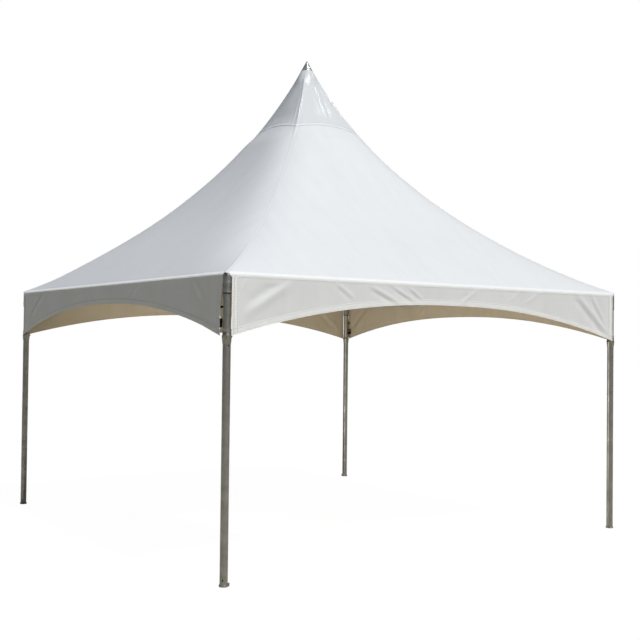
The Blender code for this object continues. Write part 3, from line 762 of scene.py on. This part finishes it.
def make_valances():
    """Four arched valances. Their rows and columns lie closer together along the stitching."""
    top = EAVE_HEIGHT + 0.004
    outer, inner = grooves(HEM_STITCHES)
    edge = [0.0, 0.0015, *outer, 0.013, 0.025, 0.037, *inner, 0.047, 0.049, 0.054]
    outer, inner = grooves(END_STITCHES)
    end = [0.0, 0.0015, 0.009, *outer, 0.034, 0.048, *inner, 0.056, 0.058, 0.066]
    inner_count = 290
    inner_half = VALANCE_HALF_WIDTH - 0.075
    columns = [distance - VALANCE_HALF_WIDTH for distance in end]
    columns += [inner_half * (2 * n / inner_count - 1) for n in range(inner_count + 1)]
    columns += [VALANCE_HALF_WIDTH - distance for distance in reversed(end)]
    rows = [(height, 0.0) for height in edge] + [(edge[-1], (n + 1) / 24) for n in range(24)]

    for side in SIDES:
        turn = Matrix.Rotation(math.radians(SIDES[side]), 3, "Z")

        def level(x, row):
            above, share = row
            hem = arch(side, x)
            return hem + above + share * (top - hem - above)

        def place(x, row):
            z = level(x, row)
            hem = arch(side, x)
            above = z - hem
            cut = 0.0
            if side == "left" and x > 1.9:
                down = (top - z) / CUT_DEPTH
                cut = 0.0107 - 0.038 * smooth(down / 0.72) + 0.005 * smooth((down - 0.8) / 0.2)
                cut *= smooth((x - 1.9) / 0.3)
            reach = 1.0 - smooth(above / (top - hem))
            mid = smooth((2.15 - abs(x)) / 0.5)
            sway = 0.007 * noise.noise(Vector((x * 0.8, SIDES[side], 3.0))) * reach * mid
            gather = 0.0020 * noise.noise(Vector((x * 15.0, SIDES[side], above * 9.0)))
            gather *= math.exp(-above / 0.06) * smooth((2.19 - abs(x)) / 0.06)
            held = smooth((2.382 - z) / 0.004) * 0.3 + 0.7
            stand = ROLL_OUTER - 0.0014 + relief(side, x, z) * held + sway + gather
            stand += hem_rise(above, VALANCE_HALF_WIDTH - abs(x))
            return turn @ Vector((x + cut, -(HALF_SPAN + stand), z))

        bm = sheet_grid(columns, rows, place, lambda x, row: (x, level(x, row) - arch(side, x)))
        area = thicken(bm, CLOTH, 1)
        # The sides in shade take the painted-shade copy of the cloth.
        face = VALANCE_PAINTED_SHADE if side in SIDES_WITH_PAINTED_SHADE else VALANCE_CLOTH
        piece = publish(f"valance_cloth_{side}", bm, [face, UNDERSIDE_VALANCE_PAINTED_SHADE],
                        [f"valance_{side}"])


# Legs, feet and fittings
def make_legs():
    """Round tube with eased ends, a spring button under the collar and one over the foot."""
    bottom, top = 0.0163, EAVE_HEIGHT - 0.0403
    outer, inner, ease = TUBE_RADIUS, TUBE_RADIUS - TUBE_WALL, 0.0008
    profile = [(outer - ease, top), (outer, top - ease), (outer, bottom + ease), (outer - ease, bottom),
               (inner + ease, bottom), (inner, bottom + ease), (inner, top - ease), (inner + ease, top)]
    button = [(0.0, 0.0035), (0.0022, 0.0032), (0.0040, 0.0018), (0.0046, 0.0), (0.0062, 0.0),
              (0.0062, -0.001), (0.0, -0.001)]
    high = turned(button, 16, place=pointing((0.0, -outer, 1.852), (0.0, -1.0, 0.0)))
    outward = Vector((-1.0, -1.0, 0.0)).normalized()
    low = turned(button, 16, place=pointing(outward * outer + Vector((0, 0, 0.052)), outward))
    parts = [(turned(profile, 64, closed=True), 0), (high, 1), (low, 1)]
    publish_corners("leg_tube", parts, [UPRIGHT_TUBE, BLACK_STEEL], "leg")


def make_feet():
    """A turned foot: a sole with an eased rim, a bead over it and the spigot up inside the leg."""
    profile = [(0.0, 0.120), (0.0252, 0.120), (0.0282, 0.117), (0.0282, 0.0160), (0.0345, 0.0160),
               (0.0358, 0.0152), (0.0362, 0.0140), (0.0358, 0.0126), (0.0350, 0.0118), (0.0362, 0.0110),
               (0.0373, 0.0098), (0.0375, 0.0080), (0.0375, 0.0028), (0.0366, 0.0008), (0.0350, 0.0),
               (0.0, 0.0)]
    outward = Matrix.Rotation(math.radians(-35), 4, "Z")
    lug = rounded_box((0.0330, -0.0060, 0.004), (0.0450, 0.0060, 0.030), 0.002, place=outward)
    pin = rod((0.0390, -0.011, 0.024), (0.0390, 0.011, 0.024), 0.0025)
    bmesh.ops.transform(pin, matrix=outward, verts=pin.verts)
    parts = [(turned(profile, 64), 0), (lug, 0), (pin, 1)]
    publish_corners("turned_foot", parts, [CAST_ALUMINIUM, ZINC_PLATE], "foot")


def make_corner_trim():
    """What stands on the casting: rolled rims, a black ring in the leg's mouth as painted shadow for the gap
    under the sleeve, a lug and set bolts.
    """
    ring = [(0.0358, 0.0), (0.0362, 0.0005), (0.0364, 0.0016), (0.0364, 0.0084), (0.0362, 0.0095),
            (0.0358, 0.0100)]
    # A black ring: painted shadow for the gap under the sleeve's mouth.
    shadow_ring_painted = [(0.0321, 0.0), (0.0353, 0.0), (0.0353, 0.0075), (0.0321, 0.0075)]
    centre = Vector((0.0, 0.0, EAVE_HEIGHT))
    parts = []
    for profile, depth, number in ((ring, 0.122, 0), (ring, 0.046, 0), (shadow_ring_painted, 0.132, 2)):
        place = pointing(centre - Vector((0, 0, depth)), (0, 0, -1))
        parts.append((turned(profile, 48, closed=True, place=place), number))
    lug = rounded_box((-0.010, -0.0065, 0.0), (0.010, 0.0065, 0.013), 0.003,
                      place=Matrix.Translation((-0.0175, -0.0175, EAVE_HEIGHT + 0.0115))
                      @ Matrix.Rotation(math.radians(135), 4, "Z"))
    parts.append((lug, 0))
    for direction in (Vector((0.0, -1.0, 0.0)), Vector((-1.0, 0.0, 0.0))):
        seat = centre + direction * 0.0352 - Vector((0, 0, 0.098))
        parts.append((hex_head(seat, direction, 0.010, 0.0035), 1))
    inward = Vector((1.0, 1.0, 0.0)).normalized()
    boss = centre + inward * 0.0775 - Vector((0.0, 0.0, 0.022))
    washer = [(0.0105, 0.0), (0.0155, 0.0), (0.0155, 0.0016), (0.0105, 0.0016)]
    parts.append((turned(washer, 32, closed=True, place=pointing(boss - inward * 0.0012, inward)), 1))
    publish_corners("corner_trim", parts, [CAST_ALUMINIUM, ZINC_PLATE, BLACK_STEEL])


def make_strap_brackets():
    """A collar on the leg with a rolled top, flared at its foot, an ear for the strap and a dark knob."""
    bore = 0.0320
    collar = [(0.0348, 1.980), (0.0355, 1.9792), (0.0355, 1.9765), (0.0349, 1.9755), (0.0349, 1.9375),
              (0.0355, 1.9365), (0.0355, 1.932), (0.0392, 1.9295), (0.0392, 1.9250), (0.0342, 1.872),
              (0.0336, 1.866), (bore, 1.866), (bore, 1.980)]
    parts = [(turned(collar, 64, closed=True), 0)]
    parts.append((rounded_box((-0.0330, 0.0050, 1.9535), (-0.0272, 0.0525, 1.9765), 0.0015), 0))
    knob = [(0.0, 0.0), (0.0040, 0.0), (0.0040, 0.0030), (0.0078, 0.0034), (0.0086, 0.0050),
            (0.0086, 0.0100), (0.0070, 0.0118), (0.0, 0.0122)]
    parts.append((turned(knob, 18, place=pointing((0.0345, 0.0, 1.9235), (1, 0, 0))), 1))
    publish_corners("collar", parts, [ZINC_PLATE, BLACK_STEEL], "strap_bracket")


def make_straps():
    """Webbing from the eave to the ear, slightly slack, sewn over at both ends."""
    columns = [0.0145, 0.0157, 0.0175, 0.0255, 0.0335, 0.0415, 0.0495, 0.0513, 0.0525]
    foot, length, pulled_in = 1.950, 0.420, 0.0085
    rows = [foot + length * n / 60 for n in range(61)]

    def place(y, z):
        edge = 0.0003 if y < 0.0160 or y > 0.0510 else 0.0
        slack = 0.0016 * math.sin(math.pi * min(1.0, (z - foot) / 0.30))
        slack *= 1 + 0.4 * noise.noise(Vector((z * 9, y * 5, 2)))
        bunch = 0.0010 if z > 2.330 or z < 1.985 else 0.0
        lean = pulled_in * smooth((z - foot) / 0.03) * smooth((2.25 - z) / 0.10)
        return Vector((-0.0351 + slack - edge * 0.5 - bunch * 0.4, y - lean, z))

    strap = sheet_grid(columns, rows, place, lambda y, z: (y, z))
    bmesh.ops.reverse_faces(strap, faces=strap.faces)
    thicken(strap, 0.0016, 0)
    keeper = rounded_box((-0.0356, 0.0050, 2.142), (-0.0310, 0.0455, 2.160), 0.0016)
    publish_corners("webbing_strap", [(strap, 0), (keeper, 1)], [WEBBING, BLACK_STEEL], "strap")


def make_ratchets():
    """A ratchet buckle: two side plates, a toothed spindle wound with webbing, and a folded handle."""
    near, far = 0.0327, 0.0663
    axle = Vector((-0.0190, 0.0, 2.0385))
    parts = []
    for y in (near, far - 0.0028):
        parts.append((rounded_box((-0.0330, y, 1.9905), (-0.0125, y + 0.0028, 2.0550), 0.0010), 0))
    for y in (near + 0.0034, far - 0.0062):
        parts.append((rounded_box((-0.0300, y, 2.0060), (-0.0096, y + 0.0026, 2.0628), 0.0010), 0))
    for y in (near - 0.0008, far + 0.0034):
        gear = bmesh.new()
        place = Matrix.Translation((axle.x, y, axle.z)) @ Matrix.Rotation(math.pi / 2, 4, "X")
        bmesh.ops.create_cone(gear, cap_ends=True, segments=26, radius1=0.0088, radius2=0.0088, depth=0.0028,
                              matrix=place)
        parts.append((gear, 1))
    parts.append((rod((axle.x, near - 0.001, axle.z), (axle.x, far + 0.004, axle.z), 0.0045), 1))
    wound = rod((axle.x, near + 0.0065, axle.z), (axle.x, far - 0.0065, axle.z), 0.0088, 0.0015, 28)
    parts.append((wound, 2))
    crossbars = ((-0.0140, 2.0570, 0.001, 0.0042, 0), (-0.0250, 1.9975, 0.001, 0.0035, 1),
                 (-0.0180, 2.0150, 0.004, 0.0024, 1))
    for x, z, inset, radius, number in crossbars:
        parts.append((rod((x, near + inset, z), (x, far - inset, z), radius), number))
    parts.append((rounded_box((-0.0363, 0.0075, 1.9925), (-0.0353, far, 2.0600), 0.0004), 0))
    publish_corners("ratchet_buckle", parts, [BLACK_STEEL, ZINC_PLATE, WEBBING], "ratchet")


# Mast, cables and finial
def make_cables():
    """Six-strand rope, one strand to each lobe of its section, in swaged ends with a check nut."""
    routes = {"front_left_to_back_right": (45, 2.232), "front_right_to_back_left": (-45, 2.245)}
    reach = HALF_SPAN * math.sqrt(2) - 0.078 - 0.0007
    neck_z, hub = EAVE_HEIGHT - 0.022, 0.065
    for name, (heading, height) in routes.items():
        slope = (neck_z - height) / (reach - hub)

        def level(x):
            return height + slope * max(0.0, abs(x) - hub)

        stations = [(reach - 0.06) * (2 * n / 620 - 1) for n in range(621)]
        turns = [2 * math.pi * n / 18 for n in range(19)]

        def place(angle, x):
            strand = 0.0037 + 0.0004 * math.cos(6 * (angle + x * 2 * math.pi / 0.30))
            return Vector((x, strand * math.cos(angle), level(x) + strand * math.sin(angle)))

        rope = sheet_grid(turns, stations, place, lambda angle, x: (angle * 0.004, x), closed=True)
        bmesh.ops.recalc_face_normals(rope, faces=rope.faces)
        parts = [(rope, 0)]
        for side in (-1, 1):
            end = Vector((side * reach, 0.0, neck_z))
            inner = Vector((side * (reach - 0.085), 0.0, level(reach - 0.085)))
            run = inner - end
            profile = [(0.0, 0.0), (0.0062, 0.0), (0.0062, 0.016), (0.0082, 0.017), (0.0082, 0.050),
                       (0.0074, 0.052), (0.0074, 0.078), (0.0058, 0.086), (0.0042, 0.094), (0.0, 0.094)]
            parts.append((turned(profile, 24, place=pointing(end, run)), 1))
            nut = end + run.normalized() * 0.008
            parts.append((hex_head(nut, run, 0.0145, 0.0065), 1))
        shape = joined(parts)
        bmesh.ops.rotate(shape, matrix=Matrix.Rotation(math.radians(heading), 3, "Z"), verts=shape.verts)
        publish(f"wire_rope_{name}", shape, [WIRE, ZINC_PLATE], [f"cable_{name}"])


def make_finial():
    """A spun cone with a rolled lip and a small rounded tip, on a stud under its skirt."""
    base = roof_height(PATCH_END) + 0.0003
    profile = [(0.0, 0.1024), (0.0030, 0.1018), (0.0052, 0.1000), (0.0080, 0.0950), (0.0160, 0.0798),
               (0.0300, 0.0531), (0.0450, 0.0250), (0.0600, -0.0020), (0.0628, -0.0060), (0.0636, -0.0078),
               (0.0642, -0.0094), (0.0634, -0.0100), (0.0616, -0.0086), (0.0585, 0.0), (0.0100, 0.0),
               (0.0100, -0.0007), (0.0, -0.0007)]
    cone = turned(profile, 64, place=Matrix.Translation((0, 0, base)))
    publish("finial_cone", cone, [FINIAL_METAL], ["finial"])


def make_mast_fittings():
    """Set collars at the mast's ends and the hub's clamp screws."""
    parts = []
    ring = [(0.0256, 0.0), (0.0305, 0.0), (0.0315, 0.0010), (0.0315, 0.0170), (0.0305, 0.0180),
            (0.0256, 0.0180)]
    for height in (2.2690, 4.4300):
        parts.append((turned(ring, 48, closed=True, place=Matrix.Translation((0, 0, height))), 0))
    for turn in (0, 90, 180, 270):
        direction = Vector((math.cos(math.radians(turn)), math.sin(math.radians(turn)), 0.0))
        parts.append((hex_head(direction * 0.0310 + Vector((0, 0, 2.278)), direction, 0.010, 0.0045), 1))
        parts.append((hex_head(direction * 0.0545 + Vector((0, 0, 2.243)), direction, 0.014, 0.0050), 1))
    publish("mast_collars", joined(parts), [CAST_ALUMINIUM, ZINC_PLATE])


make_peak_patch()
make_roof_panels(make_hip_tapes())
make_valances()
make_legs()
make_feet()
make_corner_trim()
make_strap_brackets()
make_straps()
make_ratchets()
make_cables()
make_finial()
make_mast_fittings()

# Finishes of the solids that stay
KEPT = {"corner_fitting": CAST_ALUMINIUM, "eave_tube": LEVEL_TUBE, "mast_foot": CAST_ALUMINIUM,
        "mast_cap": CAST_ALUMINIUM, "mast": UPRIGHT_TUBE}
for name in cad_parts:
    finish = next((KEPT[start] for start in KEPT if name.startswith(start)), None)
    solid = bpy.data.objects.get(name)
    if finish and solid:
        for slot in solid.material_slots:
            slot.material = finish


# Floor, light and camera
def make_floor():
    """A plain pale floor: almost white to look at, and a soft warm bounce under the tent."""
    material, shader = start_material("pale_floor", {"Base Color": linear("#bdb9ab"), "Roughness": 1.0,
                                                     "Specular IOR Level": 0.0})
    output = material.node_tree.nodes["Material Output"]
    path = add_node(material, "ShaderNodeLightPath")
    paint = add_node(material, "ShaderNodeBsdfDiffuse", {"Color": (0.035, 0.035, 0.035, 1.0)})
    glow = add_node(material, "ShaderNodeEmission", {"Color": WHITE, "Strength": 0.98})
    seen = add_node(material, "ShaderNodeAddShader", {0: paint.outputs[0], 1: glow.outputs[0]})
    mix = add_node(material, "ShaderNodeMixShader", {0: path.outputs["Is Camera Ray"],
                                                     1: shader.outputs[0], 2: seen.outputs[0]})
    connect(material, mix.outputs[0], output, "Surface")
    bm = bmesh.new()
    bmesh.ops.create_grid(bm, x_segments=8, y_segments=8, size=40.0)
    mesh = bpy.data.meshes.new("studio_floor")
    bm.to_mesh(mesh)
    bm.free()
    mesh.materials.append(material)
    add_object("studio_floor", mesh)


def make_sky():
    """A sky bright overhead, dark blue on the left and grey on the right. The camera sees white."""
    world = bpy.data.worlds.new("studio_sky")
    world.use_nodes = True
    bpy.context.scene.world = world
    place = add_node(world, "ShaderNodeTexCoord")
    parts = split(world, place.outputs["Generated"])
    leftward = ramp(world, parts["X"], -0.6, 0.4, 1.0, 0.0)
    low = mixed(world, leftward, (0.130, 0.125, 0.135, 1.0), (0.030, 0.045, 0.080, 1.0))
    sky = mixed(world, ramp(world, parts["Z"], 0.3, 0.95), low, (0.360, 0.400, 0.445, 1.0))
    path = add_node(world, "ShaderNodeLightPath")
    seen = mixed(world, path.outputs["Is Camera Ray"], sky, WHITE)
    connect(world, seen, world.node_tree.nodes["Background"], "Color")


def add_lamp(name, kind, energy, colour, back, **settings):
    """A lamp with the direction from what it lights back to it."""
    light = bpy.data.lights.new(name, kind)
    light.energy = energy
    light.color = colour
    for setting, value in settings.items():
        setattr(light, setting, value)
    lamp = add_object(name, light)
    lamp.rotation_euler = Vector(back).to_track_quat("Z", "Y").to_euler()
    return lamp


def make_light():
    """A soft sun, a gloss on the peak from the right, and what the ground throws up under the roof."""
    add_lamp("soft_sun", "SUN", 2.45, (1.0, 0.995, 0.985), (0.07, -0.57, 0.82), angle=math.radians(9))
    sheen = add_lamp("peak_sheen", "SUN", 0.12, WHITE[:3], (0.565, -0.24, 0.788), angle=math.radians(3))
    sheen.visible_diffuse = False
    bounce = add_lamp("ground_bounce", "AREA", 36, (1.0, 0.93, 0.86), (-0.93, -0.10, -0.35), size=1.8)
    bounce.location = (-1.5, -0.3, 0.92)
    bounce.visible_camera = False


def make_camera():
    """A lens 1.9 m up, off the front left corner."""
    yaw, pitch, roll = math.radians(35.321), math.radians(1.180), math.radians(0.634)
    forward = Vector((math.sin(yaw) * math.cos(pitch), math.cos(yaw) * math.cos(pitch), math.sin(pitch)))
    right = Vector((math.cos(yaw), -math.sin(yaw), 0.0))
    up = right.cross(forward)
    across = right * math.cos(roll) + up * math.sin(roll)
    upward = up * math.cos(roll) - right * math.sin(roll)
    lens = bpy.data.cameras.new("camera")
    lens.lens = 56.278
    lens.sensor_width = 36.0
    lens.clip_end = 200.0
    camera = add_object("camera", lens)
    turn = Matrix((across, upward, -forward)).transposed().to_4x4()
    camera.matrix_world = Matrix.Translation((-6.168, -9.007, 1.898)) @ turn
    bpy.context.scene.camera = camera


make_floor()
make_sky()
make_light()
make_camera()
bpy.context.scene.view_settings.view_transform = "Standard"
